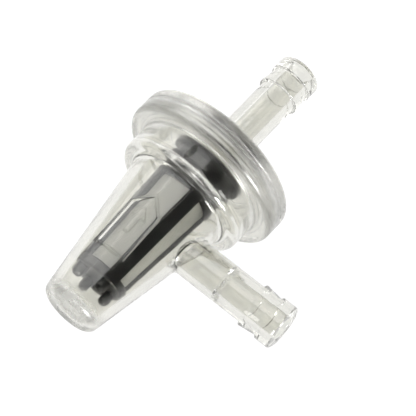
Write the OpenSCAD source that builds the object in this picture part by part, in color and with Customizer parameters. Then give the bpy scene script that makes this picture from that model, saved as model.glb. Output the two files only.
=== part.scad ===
// Right-angle inline fuel filter for a small engine.
// The main axis is X. The weld seam between cap and bowl is the plane X = 0.
// The straight spigot points to +X, the side spigot to -Y, and +Z is up.
// All sizes are in millimetres.

/* [Rim and weld seam] */
// Diameter of the welded rim
rim_d = 31; // [26:0.5:40]
// Thickness of the cap at the rim
cap_t = 2.1; // [1.5:0.1:4]
// Thickness of the bowl's half of the rim
bowl_rim_t = 3.3; // [2.2:0.1:5]
// Rounding of the rim's outer edges
rim_round = 1.0; // [0.3:0.1:1.4]
// Chamfer along both sides of the seam
seam_chamfer = 0.15; // [0.05:0.05:0.4]
// Middle diameter of the weld tongue and its groove
tongue_d = 26; // [25:0.1:28]
// Width of the weld tongue
tongue_w = 0.8; // [0.5:0.1:1.2]
// Height of the weld tongue
tongue_h = 1.0; // [0.5:0.1:1.6]

/* [Bowl] */
// Length of the bowl from the seam to the end of the nose
bowl_len = 36.3; // [30:0.1:48]
// Outside diameter of the shoulder behind the rim
shoulder_d = 24.8; // [22:0.1:27]
// Distance from the seam to the front face of the shoulder
shoulder_end = 8.9; // [8:0.1:14]
// Rounding of the shoulder's front edge
shoulder_round = 2.0; // [0.5:0.1:2.5]
// Wall around the shoulder and its front face
shoulder_wall = 1.8; // [1.2:0.1:2.5]
// Outside diameter of the cone where it leaves the shoulder
cone_d = 19.3; // [17:0.1:21]
// Outside diameter of the cone at the nose
nose_d = 11; // [10.6:0.1:14]
// Rounding of the nose's outer edge
nose_round = 1.4; // [0.5:0.1:2.5]
// Wall of the cone
bowl_wall = 1.3; // [0.9:0.1:1.6]
// Thickness of the nose's end wall
nose_wall = 1.7; // [1:0.1:3]
// Small fillets at the rim, the shoulder and the spigot roots
fillet = 0.7; // [0.3:0.1:1.2]

/* [Hose spigots] */
// Diameter of both spigot stems, for 6.35 mm fuel hose
stem_d = 7.1; // [5.5:0.1:8]
// Diameter over the barbs
barb_d = 8.2; // [7:0.1:9.5]
// Diameter of the neck between the two barbs
neck_d = 7.4; // [6:0.1:8]
// Length of the end barb's cylindrical land
land_len = 2.9; // [2:0.1:4]
// Distance from the tip to the step of the inner barb
barb_back = 6.4; // [5:0.1:9]
// Chamfer of the tip
tip_chamfer = 0.3; // [0.1:0.1:0.8]
// Bore of both spigots
bore_d = 4.2; // [3:0.1:4.6]
// Wider bore of the side spigot between the bowl and the rim's reach
core_d = 5; // [4.7:0.1:5.4]
// Tip of the straight spigot, measured from the seam
straight_tip = 24.8; // [18:0.1:36]
// Tip of the side spigot, measured from the main axis
side_tip = 28.5; // [22:0.1:40]
// Distance from the seam to the side spigot's axis
side_at = 15.5; // [15:0.1:24]

/* [Cap underside] */
// Length of the boss that carries the basket
boss_len = 5; // [3:0.1:7]
// Outside diameter of the boss
boss_d = 9.8; // [8:0.1:10.2]
// Wall of the boss
boss_wall = 1.3; // [0.8:0.1:2]
// Depth of the skirt that centres the cap in the bowl
skirt_len = 1.5; // [0.8:0.1:4]
// Wall of the skirt
skirt_wall = 1.2; // [0.8:0.1:2]

/* [Filter basket] */
// Outside diameter of the basket's collar
collar_d = 12.1; // [11.5:0.1:13.5]
// Diameter of the bead around the top of the collar
bead_d = 14.2; // [12.5:0.1:16]
// Width of the bead
bead_w = 1.6; // [0.8:0.1:3]
// Outside diameter of the basket at its lower end
basket_end_d = 9.8; // [8.5:0.1:10]
// Distance from the seam to the top of the windows
window_top = 8.2; // [7:0.1:10]
// Distance from the seam to the bottom of the windows
window_end = 27.6; // [20:0.1:28]
// Length of the closed lower end
end_len = 1.7; // [1.4:0.1:2.5]
// Depth of the recess on each side of the closed lower end
end_step = 0.4; // [0.2:0.1:0.5]
// Width of the four ribs
rib_w = 2.3; // [1.5:0.1:3]
// Radial thickness of the ribs
rib_t = 1.7; // [1.2:0.1:2.2]
// Turn of the first rib about the main axis
rib_turn = 36; // [0:1:89]
// Radius of the rounded feet under the ribs
foot_r = 1.0; // [0.6:0.1:1.1]
// Straight length of the feet below the closed end
foot_len = 1.1; // [0.4:0.1:1.6]

/* [Mesh panes] */
// Thickness of the mesh
mesh_t = 0.35; // [0.2:0.05:0.5]
// Depth of the mesh behind the ribs' outer face
mesh_inset = 0.9; // [0.4:0.1:1]
// Depth of the mesh edge inside the frame
mesh_groove = 0.5; // [0.2:0.1:0.8]

/* [Raised flow mark] */
// Distance from the seam to the point of the mark
mark_tip = 11.4; // [10:0.1:13]
// Distance from the seam to the tail of the mark
mark_tail = 26; // [18:0.1:30]
// Width of the mark
mark_w = 6; // [4:0.1:8]
// Width of the raised line
mark_line = 0.5; // [0.3:0.1:1]
// Height of the raised line
mark_h = 0.25; // [0.1:0.05:0.5]
// Turn of the mark about the main axis
mark_turn = 81; // [0:1:120]

/* [Fits] */
// Radial gap between the boss and the basket's collar
boss_gap = 0.05; // [0.02:0.01:0.2]
// Radial gap between the skirt and the bowl
skirt_gap = 0.1; // [0.05:0.01:0.3]
// Gap between the basket's feet and the bowl
foot_gap = 0.3; // [0.1:0.05:0.6]
// Gap beyond the boss's end and under the weld tongue
end_gap = 0.2; // [0.05:0.05:0.5]

/* [Hidden] */
rim_r = rim_d / 2;
shoulder_r = shoulder_d / 2;
mouth_r = shoulder_r - shoulder_wall;
cone_r = cone_d / 2;
cone_top = shoulder_end + fillet;
nose_r = nose_d / 2;
nose_top = bowl_len - nose_round;
nose_in = nose_round - 0.3;
floor_x = bowl_len - nose_wall;
shelf_x = shoulder_end - shoulder_wall;
shelf_round = shoulder_round - 0.6;
stem_r = stem_d / 2;
barb_r = barb_d / 2;
neck_r = neck_d / 2;
bore_r = bore_d / 2;
core_r = core_d / 2;
core_end = rim_r + 0.4;
bore_start = cap_t + 0.3;
boss_r = boss_d / 2;
boss_in_r = boss_r - boss_wall;
seat_r = boss_r + boss_gap;
skirt_r = mouth_r - skirt_gap;
tongue_r = tongue_d / 2;
collar_r = collar_d / 2;
basket_r = basket_end_d / 2;
taper_top = window_top - 1;
taper_end = window_end + 0.5;
foot_end = window_end + end_len + foot_len;
mark_x = -(mark_tip + mark_w / 2);
hollow_r = cone_at(shelf_x) - bowl_wall - 0.2;
foot_at = min(basket_r - 0.2, hollow_at(foot_end) - foot_gap) - foot_r;

// Points [radius, x] along an arc about [cr, cx], from angle a to angle b.
function arc(cr, cx, r, a, b, n = 8) =
    [for (i = [0:n]) [cr + r * cos(a + (b - a) * i / n), cx + r * sin(a + (b - a) * i / n)]];

// Outside radius of the cone at a distance d from the seam.
function cone_at(d) = cone_r + (nose_r - cone_r) * (d - cone_top) / (nose_top - cone_top);

// Radius of the bowl's tapered hollow at a distance d from the seam.
function hollow_at(d) = hollow_r + (nose_r - bowl_wall - hollow_r)
    * (d - shelf_x) / (floor_x - nose_in - shelf_x);

// Outside radius of the basket at a distance d from the seam.
function basket_at(d) =
    collar_r + (basket_r - collar_r) * (d - taper_top) / (taper_end - taper_top);

// Revolves points [radius, x] about the main axis.
module turned(points) {
    rotate([0, 90, 0])
        rotate_extrude($fn = 96)
            polygon(points);
}

// Spigot body from the distance root to the distance tip, along +Z.
module spigot_body(root, tip) {
    rotate_extrude($fn = 96)
        polygon([
            [0, root],
            [stem_r, root],
            [stem_r, tip - barb_back],
            [barb_r, tip - barb_back],
            [neck_r, tip - land_len - 0.4],
            [neck_r, tip - land_len],
            [barb_r, tip - land_len],
            [barb_r, tip - tip_chamfer],
            [barb_r - tip_chamfer, tip],
            [0, tip]
        ]);
}

// Outline of the bowl: rim, shoulder, cone and nose outside, then back inside.
module bowl_shell() {
    turned(concat(
        [[mouth_r, 0], [rim_r - seam_chamfer, 0], [rim_r, -seam_chamfer]],
        arc(rim_r - rim_round, rim_round - bowl_rim_t, rim_round, 0, -90),
        arc(shoulder_r + fillet, -bowl_rim_t - fillet, fillet, 90, 180),
        arc(shoulder_r - shoulder_round, shoulder_round - shoulder_end, shoulder_round, 0, -90),
        arc(cone_r + fillet, -cone_top, fillet, 90, 180),
        arc(nose_r - nose_round, -nose_top, nose_round, 0, -90),
        [[0, -bowl_len], [0, -floor_x]],
        arc(nose_r - bowl_wall - nose_in, nose_in - floor_x, nose_in, -90, 0),
        [[hollow_r, -shelf_x]],
        arc(mouth_r - shelf_round, shelf_round - shelf_x, shelf_round, -90, 0)
    ));
}

// Solid inside of the bowl's cone, used to trim the side spigot.
module bowl_hollow() {
    turned([
        [0, -shelf_x],
        [hollow_r, -shelf_x],
        [nose_r - bowl_wall, nose_in - floor_x],
        [0, nose_in - floor_x]
    ]);
}

// House-shaped outline of the mark with a plain arrow inside it.
module mark_outline() {
    difference() {
        polygon([[-mark_tail, -mark_w / 2], [mark_x, -mark_w / 2], [-mark_tip, 0],
                 [mark_x, mark_w / 2], [-mark_tail, mark_w / 2]]);
        polygon([[mark_line - mark_tail, mark_line - mark_w / 2],
                 [mark_x - 0.4 * mark_line, mark_line - mark_w / 2],
                 [-mark_tip - 1.4 * mark_line, 0],
                 [mark_x - 0.4 * mark_line, mark_w / 2 - mark_line],
                 [mark_line - mark_tail, mark_w / 2 - mark_line]]);
    }
    polygon([[4 - mark_tail, -0.5], [mark_x - 2, -0.5], [mark_x - 2, -1.5], [mark_x, 0],
             [mark_x - 2, 1.5], [mark_x - 2, 0.5], [4 - mark_tail, 0.5]]);
}

// The mark raised on the cone.
module flow_mark() {
    rotate([mark_turn, 0, 0])
        intersection() {
            turned([
                [cone_at(10.8) - 0.4, -10.8],
                [cone_at(10.8) + mark_h, -10.8],
                [cone_at(nose_top) + mark_h, -nose_top],
                [cone_at(nose_top) - 0.4, -nose_top]
            ]);
            rotate([-90, 0, 0])
                linear_extrude(height = rim_r)
                    mark_outline();
        }
}

// Tapered tube that follows the basket, between two depths behind its outer face.
module basket_tube(top, bottom, outer, inner) {
    turned([
        [basket_at(top) - outer, -top],
        [basket_at(top) - inner, -top],
        [basket_at(bottom) - inner, -bottom],
        [basket_at(bottom) - outer, -bottom]
    ]);
}

// Mesh pane number j, with its four edges set into the frame.
module mesh_pane(j) {
    rotate([rib_turn + 90 * j, 0, 0])
        intersection() {
            basket_tube(window_top - mesh_groove, window_end + mesh_groove,
                        mesh_inset, mesh_inset + mesh_t);
            translate([-bowl_len, rib_w / 2 - mesh_groove, rib_w / 2 - mesh_groove])
                cube([bowl_len, rim_r, rim_r]);
        }
}

// Rounded foot under rib number j.
module foot(j) {
    rotate([rib_turn + 90 * j, 0, 0])
        translate([-foot_end, foot_at, 0])
            rotate([0, 90, 0])
                rotate_extrude($fn = 48)
                    polygon(concat(
                        [[0, foot_len + 0.6 * end_len], [foot_r, foot_len + 0.6 * end_len]],
                        arc(0, 0, foot_r, 0, -70),
                        [[0, -foot_r * sin(70)]]
                    ));
}

// Window between ribs j and j + 1.
module window(j) {
    rotate([rib_turn + 90 * j, 0, 0])
        translate([-window_end, rib_w / 2, rib_w / 2])
            cube([window_end - window_top, rim_r, rim_r]);
}

module bowl() {
    color([0.84, 0.84, 0.80, 0.35])
        difference() {
            union() {
                bowl_shell();
                flow_mark();
                difference() {
                    translate([-side_at, 0, 0])
                        rotate([90, 0, 0])
                            spigot_body(0, side_tip);
                    bowl_hollow();
                }
            }
            translate([-side_at, 0, 0])
                rotate([90, 0, 0])
                    rotate_extrude($fn = 96)
                        polygon([[0, 0], [core_r, 0], [core_r, core_end],
                                 [bore_r, core_end + core_r - bore_r],
                                 [bore_r, side_tip + 1], [0, side_tip + 1]]);
            turned([
                [tongue_r - tongue_w / 2, 1],
                [tongue_r + tongue_w / 2, 1],
                [tongue_r + tongue_w / 2, -tongue_h - end_gap],
                [tongue_r - tongue_w / 2, -tongue_h - end_gap]
            ]);
        }
}

module cap() {
    color([0.84, 0.84, 0.80, 0.35])
        difference() {
            union() {
                turned(concat(
                    [[0, 0], [rim_r - seam_chamfer, 0], [rim_r, seam_chamfer]],
                    arc(rim_r - rim_round, cap_t - rim_round, rim_round, 0, 90),
                    arc(stem_r + fillet, cap_t + fillet, fillet, -90, -180),
                    [[0, cap_t + fillet]]
                ));
                rotate([0, 90, 0])
                    spigot_body(cap_t / 2, straight_tip);
                turned([[skirt_r - skirt_wall, 1], [skirt_r, 1],
                        [skirt_r, 0.3 - skirt_len], [skirt_r - 0.3, -skirt_len],
                        [skirt_r - skirt_wall, -skirt_len]]);
                turned([[tongue_r - tongue_w / 2, 1], [tongue_r + tongue_w / 2, 1],
                        [tongue_r + tongue_w / 2, -tongue_h],
                        [tongue_r - tongue_w / 2, -tongue_h]]);
                turned([[0, 1], [boss_r, 1], [boss_r, 0.3 - boss_len],
                        [boss_r - 0.3, -boss_len], [0, -boss_len]]);
            }
            rotate([0, 90, 0])
                cylinder(h = straight_tip + 1, r = bore_r, $fn = 96);
            turned([[0, bore_start], [bore_r, bore_start],
                    [boss_in_r, bore_start - 1.2 * (boss_in_r - bore_r)],
                    [boss_in_r, -boss_len - 1], [0, -boss_len - 1]]);
        }
}

module basket_frame() {
    color([0.07, 0.07, 0.08])
        difference() {
            union() {
                turned([
                    [seat_r, 0],
                    [bead_d / 2 - 0.3, 0],
                    [bead_d / 2, -0.3],
                    [bead_d / 2, 0.3 - bead_w],
                    [bead_d / 2 - 0.3, -bead_w],
                    [collar_r, -bead_w],
                    [collar_r, -taper_top],
                    [basket_r, -taper_end],
                    [basket_r - 0.1, 0.4 - window_end - end_len],
                    [basket_r - 0.5, -window_end - end_len],
                    [basket_r - rib_t, -window_end - end_len],
                    [basket_r - rib_t, end_step - window_end - end_len],
                    [0, end_step - window_end - end_len],
                    [0, -window_end - end_step],
                    [basket_r - rib_t, -window_end - end_step],
                    [collar_r - rib_t, -boss_len - end_gap],
                    [seat_r, -boss_len - end_gap]
                ]);
                for (j = [0:3]) foot(j);
            }
            for (j = [0:3]) window(j);
            for (j = [0:3]) mesh_pane(j);
        }
}

module mesh_pane_1() { color([0.80, 0.80, 0.77, 0.8]) mesh_pane(0); }
module mesh_pane_2() { color([0.80, 0.80, 0.77, 0.8]) mesh_pane(1); }
module mesh_pane_3() { color([0.80, 0.80, 0.77, 0.8]) mesh_pane(2); }
module mesh_pane_4() { color([0.80, 0.80, 0.77, 0.8]) mesh_pane(3); }

bowl();
cap();
basket_frame();
mesh_pane_1();
mesh_pane_2();
mesh_pane_3();
mesh_pane_4();
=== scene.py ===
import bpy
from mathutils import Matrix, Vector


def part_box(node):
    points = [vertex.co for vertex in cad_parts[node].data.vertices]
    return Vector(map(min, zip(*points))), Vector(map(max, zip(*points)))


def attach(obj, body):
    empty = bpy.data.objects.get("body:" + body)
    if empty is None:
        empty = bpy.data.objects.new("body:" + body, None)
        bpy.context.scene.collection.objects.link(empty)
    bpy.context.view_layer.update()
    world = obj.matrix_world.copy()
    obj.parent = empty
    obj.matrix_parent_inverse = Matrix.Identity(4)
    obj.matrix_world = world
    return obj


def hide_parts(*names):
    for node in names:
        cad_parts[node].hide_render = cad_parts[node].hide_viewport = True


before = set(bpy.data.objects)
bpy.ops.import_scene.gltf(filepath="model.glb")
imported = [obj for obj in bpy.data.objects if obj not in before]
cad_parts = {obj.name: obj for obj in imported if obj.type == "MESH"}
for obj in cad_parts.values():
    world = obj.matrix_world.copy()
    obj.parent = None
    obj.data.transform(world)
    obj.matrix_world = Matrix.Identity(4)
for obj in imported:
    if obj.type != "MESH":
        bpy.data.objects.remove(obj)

"""Clear right-angle fuel filter: bowl, cap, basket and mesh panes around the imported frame."""
import logging
import math
from dataclasses import dataclass, field
from enum import Enum
from functools import cache
from typing import Callable, Sequence

import bmesh
import bpy
import numpy as np
from mathutils import Matrix, Vector

logging.basicConfig(level=logging.INFO, format="%(name)s: %(message)s")
log = logging.getLogger("fuel_filter")

MM = 0.001
WELD = 2e-8          # vertices nearer than this are one vertex, in metres
NEAR = 1e-9          # difference that counts as none, in mm
STRAIGHT = 0.02      # an outline's corner that turns by less is left as it is, in radians
EDGE_SHARE = 0.49    # largest share of an edge that one corner's rounding may take
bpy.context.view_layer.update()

Array = np.ndarray
Two, Three = tuple[float, float], tuple[float, float, float]
Four = tuple[float, float, float, float]
Piece, Material = bpy.types.Object, bpy.types.Material
Tree, Node, Socket = bpy.types.NodeTree, bpy.types.Node, bpy.types.NodeSocket


# ---- outlines

@dataclass(frozen=True)
class Corner:
    """Corner of an outline: radius from the axis, station along it and its rounding, in mm."""

    radius: float
    station: float
    round: float = 0.0


def rounded(corners: Sequence[Corner], closed: bool, steps: int = 6) -> Array:
    """Rounds an outline's corners.

    Each corner is cut back by rounding * tan(turn / 2) on both edges, and an arc joins the cuts.

    Args:
        corners: the outline in order.
        closed: whether the last corner joins the first.
        steps: segments in each arc.

    Returns:
        Points (n, 2) as radius and station in mm.
    """
    pts = np.array([[c.radius, c.station] for c in corners], float)
    out = []
    for i, corner in enumerate(corners):
        here = pts[i]
        if corner.round <= 0 or (not closed and i in (0, len(pts) - 1)):
            out.append(here[None])
            continue
        back, ahead = pts[i - 1] - here, pts[(i + 1) % len(pts)] - here
        back_len, ahead_len = np.linalg.norm(back), np.linalg.norm(ahead)
        back, ahead = back / back_len, ahead / ahead_len
        between = math.acos(float(np.clip(back @ ahead, -1, 1)))
        if math.pi - between < STRAIGHT:
            out.append(here[None])
            continue
        cut = min(corner.round / math.tan(between / 2), EDGE_SHARE * back_len,
                  EDGE_SHARE * ahead_len)
        radius = cut * math.tan(between / 2)
        middle = (back + ahead) / np.linalg.norm(back + ahead)
        centre = here + middle * radius / math.sin(between / 2)
        first, last = here + back * cut - centre, here + ahead * cut - centre
        turn = math.pi - between
        t = np.linspace(0, 1, steps + 1)[:, None]
        arc = (np.sin((1 - t) * turn) * first + np.sin(t * turn) * last) / math.sin(turn)
        out.append(centre + arc)
    return np.concatenate(out)


def spaced(points: Array, longest: float, closed: bool = False) -> Array:
    """Adds points along an outline so that no step is longer than the longest, in mm."""
    if closed:
        points = np.concatenate([points, points[:1]])
    out = [points[:1]]
    for a, b in zip(points[:-1], points[1:]):
        n = max(int(math.ceil(np.linalg.norm(b - a) / longest)), 1)
        out.append(a + (b - a) * (np.arange(1, n + 1) / n)[:, None])
    got = np.concatenate(out)
    return got[:-1] if closed else got


# ---- surfaces

def grid_faces(rows: int, cols: int, wrap_rows: bool, keep: Array | None) -> Array:
    """Quads of a tube of rows x cols vertices, numbered row by row.

    Args:
        rows: vertices down the tube.
        cols: vertices around it; the last column joins the first.
        wrap_rows: joins the last row to the first.
        keep: mask of the cells to keep, or None for all.

    Returns:
        Faces (n, 4) as vertex numbers.
    """
    i, j = np.meshgrid(np.arange(rows - (not wrap_rows)), np.arange(cols), indexing="ij")
    down, right = (i + 1) % rows, (j + 1) % cols
    quads = np.stack([i * cols + j, i * cols + right, down * cols + right, down * cols + j], -1)
    return quads[keep] if keep is not None else quads.reshape(-1, 4)


@dataclass
class Shell:
    """Patches of surface that are welded into one mesh."""

    points: list[Array] = field(default_factory=list)
    faces: list[Array] = field(default_factory=list)
    count: int = 0

    def add(self, grid: Array, wrap_rows: bool = False, keep: Array | None = None) -> None:
        """Adds a tube of points (rows, cols, 3), in mm; see grid_faces for the others."""
        rows, cols = grid.shape[:2]
        self.points.append(grid.reshape(-1, 3) * MM)
        self.faces.append(grid_faces(rows, cols, wrap_rows, keep) + self.count)
        self.count += rows * cols

    def build(self, name: str) -> Piece:
        """Welds the patches' shared edges and makes the smooth object, faces outwards."""
        points, faces = np.concatenate(self.points), np.concatenate(self.faces)
        keys = np.round(points / WELD).astype(np.int64)
        _, first, index = np.unique(keys, axis=0, return_index=True, return_inverse=True)
        points, faces = points[first], index.reshape(-1)[faces]
        return mesh_object(name, points, tidy_faces(faces))


def tidy_faces(quads: Array) -> list[Array]:
    """Splits quads into whole quads and triangles where two corners are welded into one."""
    same = quads == np.roll(quads, -1, axis=1)
    whole = quads[~same.any(1)]
    thin = quads[same.sum(1) == 1]
    spot = same[same.sum(1) == 1].argmax(1)
    take = (spot[:, None] + np.array([[1, 2, 3]])) % 4
    return [whole, np.take_along_axis(thin, take, axis=1)]


def mesh_object(name: str, points: Array, faces: Sequence[Array]) -> Piece:
    """Puts points and faces into a smooth mesh whose faces point outwards.

    Args:
        name: name of the object and its mesh.
        points: vertices (n, 3) in metres.
        faces: arrays of faces, one for each number of corners.

    Returns:
        The linked object.
    """
    mesh = bpy.data.meshes.new(name)
    corners = np.concatenate([f.reshape(-1) for f in faces])
    sizes = np.concatenate([np.full(len(f), f.shape[1]) for f in faces if len(f)])
    mesh.vertices.add(len(points))
    mesh.vertices.foreach_set("co", points.astype(np.float32).reshape(-1))
    mesh.loops.add(len(corners))
    mesh.loops.foreach_set("vertex_index", corners.astype(np.int32))
    mesh.polygons.add(len(sizes))
    starts = np.concatenate([[0], np.cumsum(sizes)[:-1]])
    mesh.polygons.foreach_set("loop_start", starts.astype(np.int32))
    mesh.polygons.foreach_set("use_smooth", np.ones(len(sizes), bool))
    mesh.update(calc_edges=True)
    mesh.validate()
    outward(mesh)
    piece = bpy.data.objects.new(name, mesh)
    bpy.context.scene.collection.objects.link(piece)
    return piece


def outward(mesh: bpy.types.Mesh) -> None:
    """Recalculates the normals of a closed mesh so that its faces point outwards."""
    work = bmesh.new()
    work.from_mesh(mesh)
    bmesh.ops.recalc_face_normals(work, faces=work.faces)
    work.to_mesh(mesh)
    work.free()
    mesh.update()


def revolved(outline: Array, angles: Array, lift: Array | None = None) -> Array:
    """Turns an outline about the main axis.

    A point of radius r and station x at angle a lies at (x, r cos a, r sin a).

    Args:
        outline: points (n, 2) as radius and station.
        angles: angles in radians.
        lift: extra radius (n, angles) added to the surface.

    Returns:
        Points (n, angles, 3) in mm.
    """
    radius = outline[:, :1] + (0 if lift is None else lift)
    station = np.broadcast_to(outline[:, 1:], (len(outline), len(angles)))
    return np.stack([station, radius * np.cos(angles), radius * np.sin(angles)], -1)


# ---- finishes

def socket_group(name: str, inputs: dict[str, float],
                 outputs: Sequence[str]) -> Tree:
    """Starts a shader node group of plain numbers.

    Args:
        name: the group's name.
        inputs: names and default values of its inputs.
        outputs: names of its outputs.

    Returns:
        The group, holding its input and output nodes.
    """
    group = bpy.data.node_groups.new(name, "ShaderNodeTree")
    number = "NodeSocketFloat"
    for key, value in inputs.items():
        made = group.interface.new_socket(name=key, in_out="INPUT", socket_type=number)
        made.default_value = value
    for key in outputs:
        group.interface.new_socket(name=key, in_out="OUTPUT", socket_type=number)
    group.nodes.new("NodeGroupInput").name = "in"
    group.nodes.new("NodeGroupOutput").name = "out"
    return group


class Wiring:
    """Adds nodes to a tree and joins them up."""

    MIX_COLOURS = 6, 7       # a Mix node's two colour inputs
    MIX_RESULT = 2           # and its colour output

    def __init__(self, tree: Tree) -> None:
        """Remembers the tree."""
        self.tree = tree

    def add(self, kind: str, settings: dict[str, object] | None = None,
            **inputs: object) -> Node:
        """Adds a node.

        Args:
            kind: the node's type.
            settings: attributes to set on it.
            inputs: socket values or source sockets, with underscores for spaces.

        Returns:
            The new node.
        """
        node = self.tree.nodes.new(kind)
        for key, value in (settings or {}).items():
            setattr(node, key, value)
        for key, value in inputs.items():
            self.feed(node.inputs[key.replace("_", " ")], value)
        return node

    def feed(self, socket: Socket, value: object) -> None:
        """Sets a socket's value, or joins another socket to it."""
        if isinstance(value, Socket):
            self.tree.links.new(value, socket)
        else:
            socket.default_value = value

    def axis(self, name: str) -> Socket:
        """Returns one axis of the object's own coordinates, in metres."""
        place = self.add("ShaderNodeTexCoord").outputs["Object"]
        return self.add("ShaderNodeSeparateXYZ", Vector=place).outputs[name]

    def math(self, operation: str, *values: object) -> Socket:
        """Adds a Math node and returns its output."""
        node = self.add("ShaderNodeMath", {"operation": operation})
        for socket, value in zip(node.inputs, values):
            self.feed(socket, value)
        return node.outputs[0]

    def blend(self, share: object, first: object, second: object) -> Socket:
        """Mixes two colours and returns the output."""
        node = self.add("ShaderNodeMix", {"data_type": "RGBA"}, Factor=share)
        for index, colour in zip(self.MIX_COLOURS, (first, second)):
            self.feed(node.inputs[index], colour)
        return node.outputs[self.MIX_RESULT]

    def bump(self, shader: Node, height: Socket, strength: float, depth: float) -> None:
        """Joins a height to a shader's normal; depth is the height's reach in metres."""
        node = self.add("ShaderNodeBump", Strength=strength, Distance=depth, Height=height)
        self.feed(shader.inputs["Normal"], node.outputs["Normal"])

    def ramp(self, value: object, low: float, high: float,
             out_low: float, out_high: float) -> Socket:
        """Maps the range low to high smoothly on to out_low to out_high; returns the output."""
        node = self.add("ShaderNodeMapRange", {"interpolation_type": "SMOOTHSTEP"},
                        Value=value, From_Min=low, From_Max=high, To_Min=out_low, To_Max=out_high)
        return node.outputs[0]


@cache
def moulding_group() -> Tree:
    """Makes the look that all moulded skins share, once.

    A slow noise gives the sink and flow waves of the moulding, a fine one its polish marks.
    Outputs a roughness, a height for a Bump node and a mask of faint smears.
    """
    group = socket_group(
        "moulded_skin", {"Wave Size": 300.0, "Grain Size": 2500.0, "Wave": 0.6, "Grain": 0.1,
                         "Rough": 0.1, "Rough Spread": 0.05}, ("Roughness", "Height", "Smear"))
    w = Wiring(group)
    given = group.nodes["in"].outputs
    place = w.add("ShaderNodeTexCoord").outputs["Object"]
    wave = w.add("ShaderNodeTexNoise", Vector=place, Scale=given["Wave Size"], Detail=2.0)
    grain = w.add("ShaderNodeTexNoise", Vector=place, Scale=given["Grain Size"], Detail=3.0)
    smear = w.add("ShaderNodeTexNoise", Vector=place, Scale=180.0, Detail=4.0, Distortion=1.5)
    height = w.math("ADD", w.math("MULTIPLY", wave.outputs["Fac"], given["Wave"]),
                    w.math("MULTIPLY", grain.outputs["Fac"], given["Grain"]))
    mask = w.ramp(smear.outputs["Fac"], 0.42, 0.72, 0.0, 1.0)
    rough = w.math("ADD", given["Rough"], w.math("MULTIPLY", mask, given["Rough Spread"]))
    out = group.nodes["out"]
    w.feed(out.inputs["Roughness"], rough)
    w.feed(out.inputs["Height"], height)
    w.feed(out.inputs["Smear"], mask)
    return group


@cache
def weave_group() -> Tree:
    """Makes a plain weave over a UV map in millimetres, once.

    Each thread is a ridge with straight sides across its own direction; where two cross, the higher
    one shows. Outputs the threads' mask and their height.
    """
    group = socket_group("plain_weave", {"Pitch": 0.3, "Thread": 0.55}, ("Threads", "Height"))
    w = Wiring(group)
    given = group.nodes["in"].outputs
    uv = w.add("ShaderNodeUVMap", {"uv_map": "cloth"}).outputs[0]
    split = w.add("ShaderNodeSeparateXYZ", Vector=uv)
    ridge = []
    for axis in ("X", "Y"):
        cell = w.math("DIVIDE", split.outputs[axis], given["Pitch"])
        off = w.math("ABSOLUTE", w.math("SUBTRACT", w.math("FRACT", cell), 0.5))
        half = w.math("MULTIPLY", given["Thread"], 0.5)
        ridge.append(w.math("SUBTRACT", 1.0, w.math("DIVIDE", off, half)))
    top = w.math("MAXIMUM", ridge[0], ridge[1])
    out = group.nodes["out"]
    w.feed(out.inputs["Threads"], w.ramp(top, 0.0, 0.25, 0.0, 1.0))
    w.feed(out.inputs["Height"], w.math("MAXIMUM", top, 0.0))
    return group


def new_material(name: str) -> tuple[Material, Wiring, Node]:
    """Makes a material with one Principled BSDF and returns it with its wiring and shader."""
    material = bpy.data.materials.new(name)
    material.use_nodes = True
    w = Wiring(material.node_tree)
    shader = material.node_tree.nodes["Principled BSDF"]
    return material, w, shader


@dataclass(frozen=True)
class ClearPlastic:
    """Clear moulded plastic with a faint smoky tint. Stations are in metres."""

    name: str
    tint: Four = (0.80, 0.795, 0.745, 1.0)
    smear_tint: Four = (0.74, 0.74, 0.705, 1.0)
    weld_tint: Four = (1.0, 1.0, 0.99, 1.0)
    rough: float = 0.075
    rough_spread: float = 0.04
    ior: float = 1.48
    haze: float = 0.12
    nose_haze: float = 1.6
    weld: Four = (-0.0016, -0.0013, 0.00015, 0.0003)
    rim: Four = (-0.0050, -0.0040, 0.0026, 0.0036)
    nose: Two = (-0.0345, -0.0325)

    def band(self, w: Wiring, along: Socket, stations: Four) -> Socket:
        """Mask along the main axis: the four stations bound its rise and its fall."""
        start, risen, fall, end = stations
        return w.math("MULTIPLY", w.ramp(along, start, risen, 0.0, 1.0),
                      w.ramp(along, fall, end, 1.0, 0.0))

    def hazy(self, w: Wiring, along: Socket) -> Socket:
        """Mask of the thick parts, whose flow marks scatter light: the rim and the nose."""
        nose = w.ramp(along, *self.nose, self.nose_haze, 0.0)
        return w.math("MAXIMUM", self.band(w, along, self.rim), nose)

    def build(self) -> Material:
        """Makes the material. The weld's two faces have run together, so they tint nothing."""
        material, w, shader = new_material(self.name)
        along = w.axis("X")
        skin = w.add("ShaderNodeGroup", {"node_tree": moulding_group()}, Wave_Size=220.0,
                     Wave=1.0, Grain=0.02, Rough=self.rough, Rough_Spread=self.rough_spread)
        w.bump(shader, skin.outputs["Height"], 0.12, 0.4 * MM)
        tint = w.blend(skin.outputs["Smear"], self.tint, self.smear_tint)
        tint = w.blend(self.band(w, along, self.weld), tint, self.weld_tint)
        rough = w.math("ADD", skin.outputs["Roughness"],
                       w.math("MULTIPLY", self.hazy(w, along), self.haze))
        w.feed(shader.inputs["Base Color"], tint)
        w.feed(shader.inputs["Roughness"], rough)
        shader.inputs["Transmission Weight"].default_value = 1.0
        shader.inputs["IOR"].default_value = self.ior
        return material


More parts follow.
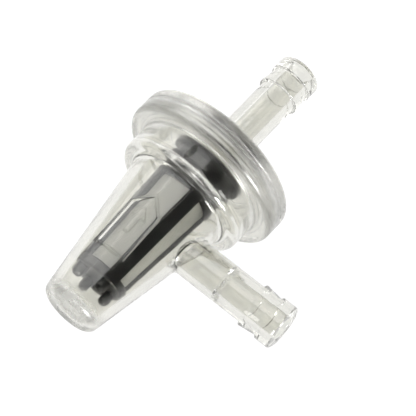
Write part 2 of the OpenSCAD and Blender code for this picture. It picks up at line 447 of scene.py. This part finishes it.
@dataclass(frozen=True)
class BlackPlastic:
    """Black satin moulded plastic."""

    name: str
    colour: Four = (0.006, 0.006, 0.0065, 1.0)
    worn: Four = (0.014, 0.014, 0.015, 1.0)
    rough: float = 0.3
    ior: float = 1.53

    def build(self) -> Material:
        """Makes the material."""
        material, w, shader = new_material(self.name)
        skin = w.add("ShaderNodeGroup", {"node_tree": moulding_group()}, Wave_Size=500.0,
                     Wave=0.5, Grain_Size=6000.0, Grain=0.5, Rough=self.rough, Rough_Spread=0.14)
        w.bump(shader, skin.outputs["Height"], 0.25, 0.1 * MM)
        w.feed(shader.inputs["Base Color"],
               w.blend(skin.outputs["Smear"], self.colour, self.worn))
        w.feed(shader.inputs["Roughness"], skin.outputs["Roughness"])
        shader.inputs["IOR"].default_value = self.ior
        return material


@dataclass(frozen=True)
class WovenMesh:
    """Pale monofilament mesh that lets part of the light through; its threads carry painted shade,
    darker down their sides and in the weave's hollows.
    """

    name: str
    thread: Four = (0.84, 0.84, 0.81, 1.0)
    # darker thread colour used as painted shade in the weave's hollows
    weave_shade: Four = (0.66, 0.66, 0.63, 1.0)
    hole: float = 0.46
    cover: float = 0.68
    pitch: float = 0.28

    def build(self) -> Material:
        """Makes the material."""
        material, w, shader = new_material(self.name)
        weave = w.add("ShaderNodeGroup", {"node_tree": weave_group()}, Pitch=self.pitch, Thread=0.7)
        w.bump(shader, weave.outputs["Height"], 0.5, 0.06 * MM)
        # Base colour: painted shade, thread colour on the threads' crowns and darker towards the
        # weave's hollows
        w.feed(shader.inputs["Base Color"],
               w.blend(weave.outputs["Height"], self.weave_shade, self.thread))
        w.feed(shader.inputs["Alpha"],
               w.ramp(weave.outputs["Threads"], 0.0, 1.0, self.hole, self.cover))
        shader.inputs["Roughness"].default_value = 0.45
        return material


# ---- the parts

GAP = 0.012          # air left between two parts that touch, in mm
WELDED = 0.006       # how far the welded faces run into each other, in mm
FLOOR_GAP = 0.4      # from the floor up to the object, in mm


class Moulding(Enum):
    """Names for the parts' finishes, which the script does not use."""

    BOWL = "bowl_plastic"
    CAP = "cap_plastic"
    BASKET = "basket_plastic"
    MESH = "mesh"


def dress(piece: Piece, node: str, finish: Material) -> None:
    """Gives a piece its finish, hangs it under the root body and hides the CAD node that it stands
    for.
    """
    piece.data.materials.clear()
    piece.data.materials.append(finish)
    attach(piece, "root")
    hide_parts(node)
    log.info("%s stands for %s, %d faces", piece.name, node, len(piece.data.polygons))


@dataclass
class Spigot:
    """Barbed hose spigot. Stations run outwards along its own axis, in mm."""

    tip: float
    stem: float = 3.55
    barb: float = 4.1
    neck: float = 3.7
    bore: float = 2.1
    land: float = 2.9
    inner_step: float = 6.4

    def outside(self) -> list[Corner]:
        """Corners from the stem over both barbs to the bore's mouth."""
        return [
            Corner(self.stem, self.tip - self.inner_step, 0.12),
            Corner(self.barb, self.tip - self.inner_step, 0.2),
            Corner(self.neck, self.tip - self.land - 0.4, 0.25),
            Corner(self.neck, self.tip - self.land, 0.1),
            Corner(self.barb, self.tip - self.land, 0.2),
            Corner(self.barb, self.tip, 0.4),
            Corner(self.bore, self.tip, 0.25),
        ]


@dataclass
class FlowMark:
    """Raised outline with a plain arrow in it, on the cone. Lengths in mm."""

    turn: float = 90.0
    tip: float = 14.0
    tail: float = 26.0
    width: float = 5.8
    line: float = 0.45
    height: float = 0.17
    edge: float = 0.12
    bar: float = 0.5
    bar_start: float = 1.5
    bar_gap: float = 4.0
    head: float = 2.0
    flare: float = 1.33
    lean: float = 0.6

    def lift(self, station: Array, across: Array) -> Array:
        """Height of the mark over the cone.

        The outline is the band inside a house shape's edge: distance to the edge is the
        least distance to its sides. The arrow is a bar joined to a triangle. Both are
        raised with a smooth step over the edge width.

        Args:
            station: distance from the seam, positive towards the nose.
            across: distance from the mark's centre line.

        Returns:
            Extra radius in mm.
        """
        half, side, slope = self.width / 2, np.abs(across), math.sqrt(0.5)
        station = np.broadcast_to(station, side.shape)
        house = np.minimum.reduce([self.tail - station, half - side,
                                   (station - self.tip - side) * slope])
        band = np.minimum(house, self.line - house)
        neck = self.tip + half
        bar = np.minimum.reduce([self.tail - self.bar_gap - station, self.bar - side,
                                 station - neck - self.bar_start])
        head = np.minimum((station - neck - side * self.flare) * self.lean,
                          neck + self.head - station)
        arrow = np.maximum(bar, head)
        inside = np.clip(np.maximum(band, arrow) / self.edge * 0.5 + 0.5, 0, 1)
        return self.height * inside * inside * (3 - 2 * inside)


@dataclass
class Loop:
    """Edge of a rectangular window cut into a revolved surface, as grid rows and columns."""

    top: int
    bottom: int
    left: int
    right: int

    def cells(self, rows: int, cols: int) -> Array:
        """Mask of a grid's cells, (rows, cols), outside the window."""
        i, j = np.meshgrid(np.arange(rows), np.arange(cols), indexing="ij")
        inside = (i >= self.top) & (i < self.bottom) & (j >= self.left) & (j < self.right)
        return ~inside

    def edge(self, grid: Array) -> Array:
        """Points around the window's edge, in order, each once."""
        top, bottom, left, right = self.top, self.bottom, self.left, self.right
        return np.concatenate([
            grid[top, left:right], grid[top:bottom, right],
            grid[bottom, left + 1:right + 1][::-1], grid[top + 1:bottom + 1, left][::-1]])

    def turned_edge(self, grid: Array) -> Array:
        """The same for a grid whose rows run the other way, from the bottom row back."""
        top, bottom, left, right = self.top, self.bottom, self.left, self.right
        return np.concatenate([
            grid[bottom, left:right], grid[top + 1:bottom + 1, right][::-1],
            grid[top, left + 1:right + 1][::-1], grid[top:bottom, left]])


@dataclass
class Bowl:
    """Clear bowl: its half of the rim, shoulder, cone, nose, side spigot and raised mark.

    The whole bowl is one surface. An outline is revolved about the main axis, from the
    pole inside the nose, up the hollow, over the seam and down the outside to the outer
    pole. A window is left in the cone's outside and one in its hollow, and the side
    spigot's tube joins the two. Lengths in mm. The groove is given as its two radii and
    its depth, a window as its margin in mm and its half width in degrees.
    """

    length: float
    rim: float
    side: Spigot
    mark: FlowMark
    rim_depth: float = 3.3
    mouth: float = 10.6
    shoulder: float = 12.4
    shoulder_end: float = 8.9
    cone_top: float = 9.6
    cone: float = 9.65
    nose_top: float = 34.9
    nose: float = 5.5
    shelf: float = 7.1
    hollow: float = 8.56
    hollow_end: float = 4.2
    floor: float = 34.6
    side_at: float = 15.5
    fillet: float = 0.7
    core: float = 2.5
    core_end: float = 15.9
    groove: Three = (12.6, 13.4, 1.2)
    floor_round: float = 1.1
    window_in: Two = (0.35, 24.0)
    window_out: Two = (0.25, 35.0)
    mark_step: float = 0.125

    def outside(self, station: Array | float) -> Array | float:
        """Radius of the cone's outside, on a straight line from its top to the nose."""
        part = (station - self.cone_top) / (self.nose_top - self.cone_top)
        return self.cone + (self.nose - self.cone) * part

    def inside(self, station: Array | float) -> Array | float:
        """Radius of the tapered hollow, on a straight line from the shelf to the floor."""
        part = (station - self.shelf) / (self.floor - self.floor_round - self.shelf)
        return self.hollow + (self.hollow_end - self.hollow) * part

    def angles(self) -> Array:
        """Columns of the revolved grid: close together across the mark, wider elsewhere."""
        centre, half = math.radians(self.mark.turn), math.radians(25)
        near = np.linspace(centre - half, centre + half, 66, endpoint=False)
        far = np.linspace(centre + half, centre - half + 2 * math.pi, 120, endpoint=False)
        return np.concatenate([near, far])

    def columns(self, half: float) -> tuple[int, int]:
        """First and last column within half a width, in degrees, of the side spigot."""
        cols = np.nonzero(np.abs(np.degrees(self.angles()) - 180) < half)[0]
        return int(cols[0]), int(cols[-1])

    def outline(self, rows: int = 75) -> tuple[Array, Loop, Loop]:
        """Outline of the bowl.

        Args:
            rows: rows across the outer window; the inner one gets as many more as it has
                fewer columns, so that both edges have the same number of points.

        Returns:
            Points as radius and station, and the inner and outer windows.
        """
        near, wide = self.columns(self.window_in[1]), self.columns(self.window_out[1])
        more = (wide[1] - wide[0]) - (near[1] - near[0])
        half_in = self.core + self.window_in[0]
        half_out = self.side.stem + self.fillet + self.window_out[0]
        hole_in = self.side_at + half_in, self.side_at - half_in
        hole_out = self.side_at - half_out, self.side_at + half_out
        low = rounded([Corner(0, -self.floor),
                       Corner(self.inside(self.floor), -self.floor, self.floor_round),
                       Corner(self.inside(hole_in[0]), -hole_in[0])], False)
        t = np.linspace(hole_in[0], hole_in[1], rows + more)
        wall_in = np.stack([self.inside(t), -t], 1)
        seam, (groove_in, groove_out, groove_end) = 0.0, self.groove
        top = rounded([
            Corner(self.inside(hole_in[1]), -hole_in[1]),
            Corner(self.inside(self.shelf), -self.shelf, 0.25),
            Corner(self.mouth, -self.shelf, 1.4), Corner(self.mouth, seam, 0.15),
            Corner(groove_in, seam, 0.05), Corner(groove_in, -groove_end, 0.1),
            Corner(groove_out, -groove_end, 0.1), Corner(groove_out, seam, 0.05),
            Corner(self.rim, seam, 0.3), Corner(self.rim, -self.rim_depth, 1.0),
            Corner(self.shoulder, -self.rim_depth, 0.5),
            Corner(self.shoulder, -self.shoulder_end, 2.0),
            Corner(self.outside(self.shoulder_end), -self.shoulder_end, 0.7),
            Corner(self.outside(hole_out[0]), -hole_out[0])], False)
        t = np.linspace(hole_out[0], hole_out[1], rows)
        wall_out = np.stack([self.outside(t), -t], 1)
        t = np.arange(hole_out[1], self.mark.tail + 0.6, self.mark_step)
        marked = np.stack([self.outside(t), -t], 1)
        nose = rounded([Corner(*marked[-1]), Corner(self.outside(self.length), -self.length, 1.4),
                        Corner(0, -self.length)], False, 10)
        parts = [spaced(low, 1.0), wall_in[1:], spaced(top, 0.6)[1:], wall_out[1:],
                 marked[1:], spaced(nose, 0.4)[1:]]
        ends = (np.cumsum([len(part) for part in parts]) - 1).tolist()
        return np.concatenate(parts), Loop(*ends[:2], *near), Loop(*ends[2:4], *wide)

    def build(self) -> Piece:
        """Makes the bowl's mesh."""
        outline, inner, outer = self.outline()
        angles = self.angles()
        radius, station = outline[:, :1], -outline[:, 1:]
        turn = angles[None] - math.radians(self.mark.turn)
        on_cone = (station > self.mark.tip - 1) & (station < self.mark.tail + 1)
        on_cone = on_cone & (radius > self.outside(station) - 0.05) & (np.cos(turn) > 0.5)
        lift = np.where(on_cone, self.mark.lift(station, radius * np.sin(turn)), 0)
        grid = revolved(outline, angles, lift)
        size = len(outline) - 1, len(angles)
        shell = Shell()
        shell.add(grid, keep=inner.cells(*size) & outer.cells(*size))
        self.add_spigot(shell, inner.edge(grid), outer.edge(grid))
        return shell.build("bowl_body")

    def add_spigot(self, shell: Shell, inner: Array, outer: Array) -> None:
        """Adds the side spigot between the two windows' edges.

        Each ring holds x = axis + r cos(phi), z = r sin(phi). On the cone, depth y is
        -sqrt(R(x)^2 - z^2), with R the cone's radius there. The fillet is a quadratic
        curve that leaves the cone along its slope and ends along the stem.

        Args:
            shell: the bowl's surface.
            inner: the edge of the hollow's window, in mm.
            outer: the edge of the cone's window, in mm.
        """
        inner, outer = (edge[np.argsort(self.bearing(edge))] for edge in (inner, outer))
        phi_in, phi_out = self.bearing(inner), self.bearing(outer)
        foot = self.side.stem + self.fillet
        rings = [outer, *self.patch(outer, phi_out, foot, self.outside, 8),
                 *self.root(phi_out, foot, self.side.stem, self.outside, self.fillet, 8)]
        body = rounded([Corner(self.side.stem, 12.0)] + self.side.outside()
                       + [Corner(self.side.bore, self.core_end + 0.4)], False)
        body = spaced(body, 1.0)[1:]
        rings += list(self.tube(body, np.broadcast_to(phi_out, (len(body), len(phi_out)))))
        core = rounded([Corner(self.side.bore, self.core_end + 0.6),
                        Corner(self.side.bore, self.core_end + 0.4, 0.1),
                        Corner(self.core, self.core_end, 0.1), Corner(self.core, 10.0)], False)
        core = spaced(core, 0.5)[1:]
        mix = np.linspace(0, 1, len(core))[:, None]
        gap = np.angle(np.exp(1j * (phi_in - phi_out)))
        rings += list(self.tube(core, phi_out + mix * gap))
        foot = self.core + 0.15
        rings += list(self.root(phi_in, foot, self.core, self.inside, 0.15, 4)[::-1])
        rings += [*self.patch(inner, phi_in, foot, self.inside, 5)[::-1][1:], inner]
        shell.add(np.stack(rings))

    def bearing(self, points: Array) -> Array:
        """Angles of points round the spigot's axis."""
        return np.arctan2(points[:, 2], points[:, 0] + self.side_at)

    def tube(self, outline: Array, phi: Array) -> Array:
        """Rings of the spigot: radius and station of each outline point, turned by phi."""
        r, s = outline[:, :1], np.broadcast_to(outline[:, 1:], phi.shape)
        return np.stack([r * np.cos(phi) - self.side_at, -s, r * np.sin(phi)], -1)

    def patch(self, edge: Array, phi: Array, radius: float, wall: Callable, count: int) -> Array:
        """Rings on a wall, from just inside a window's edge to a circle round the spigot's axis.

        Args:
            edge: points of the window's edge.
            phi: their angle round the spigot's axis.
            radius: radius of the circle.
            wall: the wall's radius by station.
            count: number of rings.

        Returns:
            Points (count, n, 3); the last ring is the circle.
        """
        t = (np.arange(1, count + 1) / count)[:, None]
        x = edge[:, 0] + t * (radius * np.cos(phi) - self.side_at - edge[:, 0])
        z = edge[:, 2] + t * (radius * np.sin(phi) - edge[:, 2])
        return np.stack([x, -np.sqrt(wall(-x) ** 2 - z ** 2), z], -1)

    def root(self, phi: Array, wide: float, narrow: float, wall: Callable, rise: float,
             count: int) -> Array:
        """Rings of the rounding between a wall and a tube.

        Args:
            phi: angles round the spigot's axis.
            wide: radius where the rounding leaves the wall.
            narrow: radius of the tube.
            wall: the wall's radius by station.
            rise: length of the rounding along the tube, outwards on the cone.
            count: number of rings.

        Returns:
            Points (count, n, 3) without the ring on the wall.
        """
        x = wide * np.cos(phi) - self.side_at
        big, small = wall(-x), wide * np.sin(phi)
        slope = wall(0.0) - wall(1.0)
        start = np.sqrt(big ** 2 - small ** 2)
        tilt = (big * slope * np.cos(phi) - wide * np.sin(phi) ** 2) / start
        middle = start - tilt * (wide - narrow)
        end = middle + rise
        t = (np.arange(1, count + 1) / count)[:, None]
        r = (1 - t) ** 2 * wide + (1 - (1 - t) ** 2) * narrow
        s = (1 - t) ** 2 * start + 2 * t * (1 - t) * middle + t ** 2 * end
        return np.stack([r * np.cos(phi) - self.side_at, -s, r * np.sin(phi)], -1)


@dataclass
class Cap:
    """Clear cap: its half of the rim, straight spigot, weld tongue, skirt and boss, in mm."""

    rim: float
    straight: Spigot
    thick: float = 2.1
    fillet: float = 0.7
    tongue_in: float = Bowl.groove[0] - WELDED
    tongue_out: float = Bowl.groove[1] + WELDED
    tongue_end: float = Bowl.groove[2] + WELDED
    skirt_out: float = 10.5
    skirt_in: float = 9.3
    boss: float = 4.9
    boss_hole: float = 3.6
    bore_start: float = 2.4

    def build(self) -> Piece:
        """Makes the cap: its closed outline revolved about the main axis."""
        seam, slope = -WELDED, 1.2 * (self.boss_hole - self.straight.bore)
        corners = list(reversed(self.straight.outside())) + [
            Corner(self.straight.stem, self.thick, self.fillet),
            Corner(self.rim, self.thick, 1.0), Corner(self.rim, seam, 0.22),
            Corner(self.tongue_out, seam, 0.05), Corner(self.tongue_out, -self.tongue_end, 0.1),
            Corner(self.tongue_in, -self.tongue_end, 0.1), Corner(self.tongue_in, seam, 0.05),
            Corner(self.skirt_out, seam, 0.1), Corner(self.skirt_out, -1.5, 0.4),
            Corner(self.skirt_in, -1.5, 0.15), Corner(self.skirt_in, GAP, 0.2),
            Corner(self.boss, GAP, 0.02), Corner(self.boss, -5.0, 0.35),
            Corner(self.boss_hole, -5.0, 0.15),
            Corner(self.boss_hole, self.bore_start - slope, 0.3),
            Corner(self.straight.bore, self.bore_start, 0.3)]
        outline = spaced(rounded(corners, True), 0.6, True)
        shell = Shell()
        shell.add(revolved(outline, turns(180)), wrap_rows=True)
        return shell.build("cap_body")


def turns(count: int) -> Array:
    """Evenly spaced angles round a full turn, in radians."""
    return np.arange(count) * (2 * math.pi / count)


@dataclass
class Basket:
    """Black filter basket: collar, four ribs, closed end and feet, in mm.

    The frame is one surface: an outline revolved about the main axis, with four windows
    between the ribs. A column of the grid keeps its distance u from its rib's middle, so
    its angle is asin(u / r) and the ribs keep their width down the taper. Within the core
    radius the columns fan out straight.
    """

    turn: float = 36.0
    collar: float = 6.05
    bead: float = 7.1
    bead_width: float = 1.6
    seat: float = 4.95
    end: float = 4.9
    taper_top: float = 7.2
    taper_end: float = 28.1
    window_top: float = 8.2
    window_end: float = 27.6
    low: float = 29.3
    recess: float = 0.4
    rib: float = 2.3
    thick: float = 1.7
    edge: float = 0.16
    foot: float = 1.0
    foot_at: float = 3.41
    foot_end: float = 30.4
    collar_end: float = 5.2
    cup: float = 28.0
    core: float = 3.0

    def outside(self, station: Array | float) -> Array | float:
        """Radius of the basket's outside, on a straight line down its taper."""
        part = (station - self.taper_top) / (self.taper_end - self.taper_top)
        return self.collar + (self.end - self.collar) * np.clip(part, 0, 1)

    def outline(self) -> Array:
        """Outline from the pole under the closed end, up the outside and down the inside."""
        inner = self.end - self.thick
        e, t = self.window_end, self.window_top
        below = rounded([
            Corner(0, self.recess - self.low), Corner(inner, self.recess - self.low, 0.12),
            Corner(inner, -self.low, 0.15), Corner(self.end - 0.1, -self.low, 0.45),
            Corner(self.end, -self.taper_end, 0.2), Corner(self.outside(e), -e)], False)
        above = rounded([
            Corner(self.outside(t), -t), Corner(self.collar, -self.taper_top, 0.5),
            Corner(self.collar, -self.bead_width, 0.2), Corner(self.bead, -self.bead_width, 0.35),
            Corner(self.bead, -GAP, 0.35), Corner(self.seat, -GAP, 0.1),
            Corner(self.seat, -self.collar_end, 0.1),
            Corner(self.collar - self.thick, -self.collar_end, 0.1),
            Corner(self.outside(t) - self.thick, -t)], False)
        end = rounded([Corner(self.outside(e) - self.thick, -e),
                       Corner(inner, -self.cup, 0.15), Corner(0, -self.cup)], False)
        side = self.rows()
        out = np.stack([self.outside(side), -side], 1)[::-1]
        back = np.stack([self.outside(side) - self.thick, -side], 1)
        return np.concatenate([spaced(below, 0.4)[:-1], out, spaced(above, 0.4)[1:-1], back,
                               spaced(end, 0.4)[1:]])

    def near(self) -> Array:
        """Distances from a window's edge of the rows and columns that round it."""
        return self.edge * (1 - np.cos(np.linspace(0, math.pi / 2, 5)))

    def rows(self) -> Array:
        """Stations of the windows' rows: close together at both edges."""
        near = self.near()
        far = np.linspace(self.window_top + self.edge, self.window_end - self.edge, 48)
        return np.concatenate([self.window_top + near[:-1], far, self.window_end - near[::-1][1:]])

    def columns(self) -> tuple[Array, Array, Array]:
        """Columns of one quarter turn.

        Returns:
            Distance from the rib's middle for the rib's columns, the share of the way
            across the window for the other columns, and the mask of the rib's columns.
        """
        near, half = self.near(), self.rib / 2
        rib = np.concatenate([-half + near, np.linspace(-0.8, 0.8, 7), half - near[::-1]])
        across = np.linspace(0, 1, 22)[1:-1]
        return rib, across, np.arange(len(rib) + len(across)) < len(rib)

    def build(self) -> Piece:
        """Makes the frame with its windows, and the four feet."""
        outline = self.outline()
        rib, across, on_rib = self.columns()
        radius = np.maximum(outline[:, :1], self.core)
        edge_at = np.arcsin(self.rib / 2 / radius)
        ribs = np.arcsin(rib / radius)
        gaps = edge_at + across * (math.pi / 2 - 2 * edge_at)
        quarter = np.concatenate([ribs, gaps], 1)
        start = math.radians(self.turn)
        angle = np.concatenate([quarter + start + k * math.pi / 2 for k in range(4)], 1)
        depth = self.rounding(outline, rib, on_rib)
        r = outline[:, :1] - np.tile(depth, 4)
        grid = np.stack([np.broadcast_to(outline[:, 1:], r.shape), r * np.cos(angle),
                         r * np.sin(angle)], -1)
        station = -outline[:, 1]
        outer = np.abs(outline[:, 0] - self.outside(station)) < NEAR
        inner = np.abs(outline[:, 0] - self.outside(station) + self.thick) < NEAR
        inside = (station >= self.window_top - NEAR) & (station <= self.window_end + NEAR)
        out_rows, in_rows = np.nonzero(outer & inside)[0], np.nonzero(inner & inside)[0]
        shell = Shell()
        cols, count = len(on_rib), int(on_rib.sum())
        keep = np.ones((len(grid) - 1, 4 * cols), bool)
        closed = np.concatenate([grid, grid[:, :1]], 1)
        t = np.linspace(0, 1, 4)[:, None, None]
        for k in range(4):
            left, right = k * cols + count - 1, (k + 1) * cols
            out = Loop(int(out_rows[0]), int(out_rows[-1]), left, right)
            back = Loop(int(in_rows[0]), int(in_rows[-1]), left, right)
            keep &= out.cells(*keep.shape) & back.cells(*keep.shape)
            shell.add(out.edge(closed) * (1 - t) + back.turned_edge(closed) * t)
        shell.add(grid, keep=keep)
        for k in range(4):
            shell.add(self.foot_grid(start + k * math.pi / 2))
        return shell.build("basket_moulding")

    def rounding(self, outline: Array, rib: Array, on_rib: Array) -> Array:
        """Depth of the rounding along the windows' outer edges.

        With d the distance from the window's edge and e the rounding's radius, the depth
        is e - sqrt(e^2 - (e - d)^2) where d is less than e.
        """
        station = -outline[:, 1:]
        outer = np.abs(outline[:, :1] - self.outside(station)) < NEAR
        side = np.pad(self.rib / 2 - np.abs(rib), (0, int((~on_rib).sum())))
        ends = np.maximum(self.window_top - station, station - self.window_end)
        away = np.maximum(np.maximum(ends, side), 0)
        short = np.maximum(self.edge - away, 0)
        fall = self.edge - np.sqrt(np.maximum(self.edge ** 2 - short ** 2, 0))
        return np.where(outer, fall, 0)

    def foot_grid(self, angle: float) -> Array:
        """One foot: an outline from its top pole to its rounded tip, revolved on its own axis."""
        bend = np.linspace(0, math.pi / 2, 9)
        top = self.low - 0.9
        r = np.concatenate([[0, self.foot * 0.6, self.foot], self.foot * np.cos(bend)])
        s = np.concatenate([[top, top, top + 0.2], self.foot_end + self.foot * np.sin(bend)])
        r[-1] = 0
        phi = turns(32)
        y = self.foot_at + r[:, None] * np.cos(phi)
        z = r[:, None] * np.sin(phi)
        x = np.broadcast_to(-s[:, None], y.shape)
        return np.stack([x, y * math.cos(angle) - z * math.sin(angle),
                         y * math.sin(angle) + z * math.cos(angle)], -1)


@dataclass
class Pane:
    """One of the four mesh panes, set into the basket behind its ribs. Lengths in mm."""

    basket: Basket
    index: int
    inset: float = 0.9
    thick: float = 0.35
    groove: float = 0.5
    sag: float = 0.05
    mean_radius: float = 4.6

    def build(self) -> Piece:
        """Makes the pane.

        The pane follows the basket's taper. It bows inwards between the ribs by
        sag * sin(pi a) * sin(pi b), with a and b the shares across it and down it. Its
        outline goes out across, back behind, so each row is a closed loop.
        """
        basket = self.basket
        reach = basket.rib / 2 - self.groove
        s = np.linspace(basket.window_top - self.groove, basket.window_end + self.groove, 60)
        a = np.linspace(0, 1, 29)
        outer = basket.outside(s)[:, None] - self.inset
        bow = self.sag * np.sin(math.pi * a) * np.sin(np.linspace(0, math.pi, 60))[:, None]
        front, back = outer - bow, outer - self.thick - bow
        r = np.concatenate([front, back[:, ::-1]], 1)
        edge = np.arcsin(reach / r)
        share = np.concatenate([a, a[::-1]])
        angle = edge + share * (math.pi / 2 - 2 * edge)
        angle = angle + math.radians(basket.turn) + self.index * math.pi / 2
        x = np.broadcast_to(-s[:, None], r.shape)
        grid = np.stack([x, r * np.cos(angle), r * np.sin(angle)], -1)
        middle = grid.mean(1, keepdims=True)
        ends = np.concatenate([np.broadcast_to(self.fold(grid[:1]), grid[:1].shape), grid,
                               np.broadcast_to(self.fold(grid[-1:]), grid[:1].shape)])
        shell = Shell()
        shell.add(ends)
        piece = shell.build(f"mesh_cloth_{self.index + 1}")
        self.lay(piece, float(middle[0, 0, 0]))
        return piece

    def fold(self, row: Array) -> Array:
        """Middle line of a closed row, where its front and back meet to close the end."""
        half = row.shape[1] // 2
        middle = (row[:, :half] + row[:, half:][:, ::-1]) / 2
        return np.concatenate([middle, middle[:, ::-1]], 1)

    def lay(self, piece: Piece, start: float) -> None:
        """Lays a UV map in millimetres: along the axis, and along the arc at the middle radius."""
        mesh = piece.data
        co = np.empty(len(mesh.vertices) * 3, np.float32)
        mesh.vertices.foreach_get("co", co)
        co = co.reshape(-1, 3) / MM
        middle = math.radians(self.basket.turn + 45) + self.index * math.pi / 2
        turn = np.angle(np.exp(1j * (np.arctan2(co[:, 2], co[:, 1]) - middle)))
        uv = np.stack([co[:, 0] - start, turn * self.mean_radius], -1)
        corner = np.empty(len(mesh.loops), np.int32)
        mesh.loops.foreach_get("vertex_index", corner)
        layer = mesh.uv_layers.new(name="cloth")
        layer.data.foreach_set("uv", uv[corner].astype(np.float32).reshape(-1))


# ---- the studio

@dataclass(frozen=True)
class Lamp:
    """Round soft light that faces the origin: place and width in metres, power in watts."""

    name: str
    place: Three
    width: float
    power: float


@dataclass
class Studio:
    """White floor, surround, soft lights and the camera. Lengths in metres.

    The surround is white at the horizon and dark on the camera's side, so that it does not
    veil the black basket behind the clear plastic.
    """

    eye: Three = (-0.11369, -0.07984, 0.24558)
    right: Three = (0.6417, -0.7656, 0.0467)
    up: Three = (0.6633, 0.5845, 0.4674)
    back: Three = (-0.3851, -0.2689, 0.8828)
    lens: float = 142.58
    low_glow: float = 0.42
    high_glow: float = 0.06
    dark_way: Three = (-0.385, -0.269, 0.883)
    sheet_glow: float = 0.98
    sheet_half: float = 1.2
    lamps: tuple[Lamp, ...] = (Lamp("key", (0.07, 0.42, 0.43), 0.60, 2.6),
                               Lamp("top", (0.05, 0.0, 0.60), 0.50, 1.5),
                               Lamp("front", (-0.62, -0.09, 0.25), 0.26, 1.1),
                               Lamp("side", (-0.40, -0.46, 0.05), 0.30, 10.0))

    def camera(self) -> None:
        """Makes the camera. Its matrix's columns are the right, up and back directions."""
        data = bpy.data.cameras.new("view")
        data.lens, data.sensor_width, data.sensor_fit = self.lens, 36.0, "HORIZONTAL"
        data.clip_start, data.clip_end = 0.01, 10.0
        view = bpy.data.objects.new("view", data)
        turn = Matrix((self.right, self.up, self.back)).transposed()
        view.matrix_world = Matrix.Translation(self.eye) @ turn.to_4x4()
        bpy.context.scene.collection.objects.link(view)
        bpy.context.scene.camera = view

    def floor(self, low: float) -> None:
        """Makes the floor, a plain white sheet at the height given."""
        half = self.sheet_half
        mesh = bpy.data.meshes.new("floor")
        mesh.from_pydata([(-half, -half, low), (half, -half, low), (half, half, low),
                          (-half, half, low)], [], [(0, 1, 2, 3)])
        floor = bpy.data.objects.new("floor", mesh)
        material, w, shader = new_material("white_sheet")
        tone = w.add("ShaderNodeTexNoise", Scale=3.0,
                     Vector=w.add("ShaderNodeTexCoord").outputs["Object"])
        w.feed(shader.inputs["Roughness"], w.ramp(tone.outputs["Fac"], 0.3, 0.7, 0.8, 0.9))
        shader.inputs["Base Color"].default_value = (0.06, 0.06, 0.06, 1)
        shader.inputs["Emission Color"].default_value = (1, 1, 1, 1)
        shader.inputs["Emission Strength"].default_value = self.sheet_glow
        mesh.materials.append(material)
        bpy.context.scene.collection.objects.link(floor)

    def lights(self) -> None:
        """Sets the surround and the lamps."""
        world = bpy.data.worlds.new("surround")
        world.use_nodes = True
        w = Wiring(world.node_tree)
        way = w.add("ShaderNodeTexCoord").outputs["Generated"]
        facing = w.add("ShaderNodeVectorMath", {"operation": "DOT_PRODUCT"})
        w.feed(facing.inputs[0], way)
        w.feed(facing.inputs[1], self.dark_way)
        sky = w.ramp(facing.outputs["Value"], 0.15, 0.62, self.low_glow, self.high_glow)
        height = w.add("ShaderNodeSeparateXYZ", Vector=way).outputs["Z"]
        glow = w.math("MAXIMUM", sky, w.ramp(height, 0.0, 0.22, 1.0, 0.0))
        background = world.node_tree.nodes["Background"]
        w.feed(background.inputs["Strength"], glow)
        background.inputs["Color"].default_value = (1, 1, 1, 1)
        bpy.context.scene.world = world
        for lamp in self.lamps:
            data = bpy.data.lights.new(lamp.name, "AREA")
            data.shape, data.size, data.energy = "DISK", lamp.width, lamp.power
            light = bpy.data.objects.new(lamp.name, data)
            where = Vector(lamp.place)
            light.matrix_world = Matrix.Translation(where) @ (
                where.to_track_quat("Z", "Y").to_matrix().to_4x4())
            bpy.context.scene.collection.objects.link(light)

    def finish(self, low: float) -> None:
        """Builds the studio and sets how light is carried and shown."""
        self.camera()
        self.floor(low)
        self.lights()
        bpy.context.scene.view_settings.view_transform = "Standard"
        cycles = bpy.context.scene.cycles
        cycles.max_bounces = cycles.transmission_bounces = cycles.transparent_max_bounces = 32
        cycles.diffuse_bounces, cycles.glossy_bounces = 6, 12


def main() -> None:
    """Builds the filter and the studio."""
    bowl_low, bowl_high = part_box("bowl")
    cap_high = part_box("cap")[1]
    rim = bowl_high[2] / MM
    clear = ClearPlastic("clear_bowl").build()
    clear_cap = ClearPlastic("clear_cap", tint=(0.81, 0.805, 0.755, 1.0)).build()
    black = BlackPlastic("black_basket").build()
    cloth = WovenMesh("filter_cloth").build()
    bowl = Bowl(-bowl_low[0] / MM, rim, Spigot(-bowl_low[1] / MM), FlowMark())
    dress(bowl.build(), "bowl", clear)
    cap = Cap(rim, Spigot(cap_high[0] / MM))
    dress(cap.build(), "cap", clear_cap)
    basket = Basket()
    dress(basket.build(), "basket_frame", black)
    for index in range(4):
        dress(Pane(basket, index).build(), f"mesh_pane_{index + 1}", cloth)
    Studio().finish(float(bowl_low[2]) - FLOOR_GAP * MM)


if __name__ == "__main__":
    main()
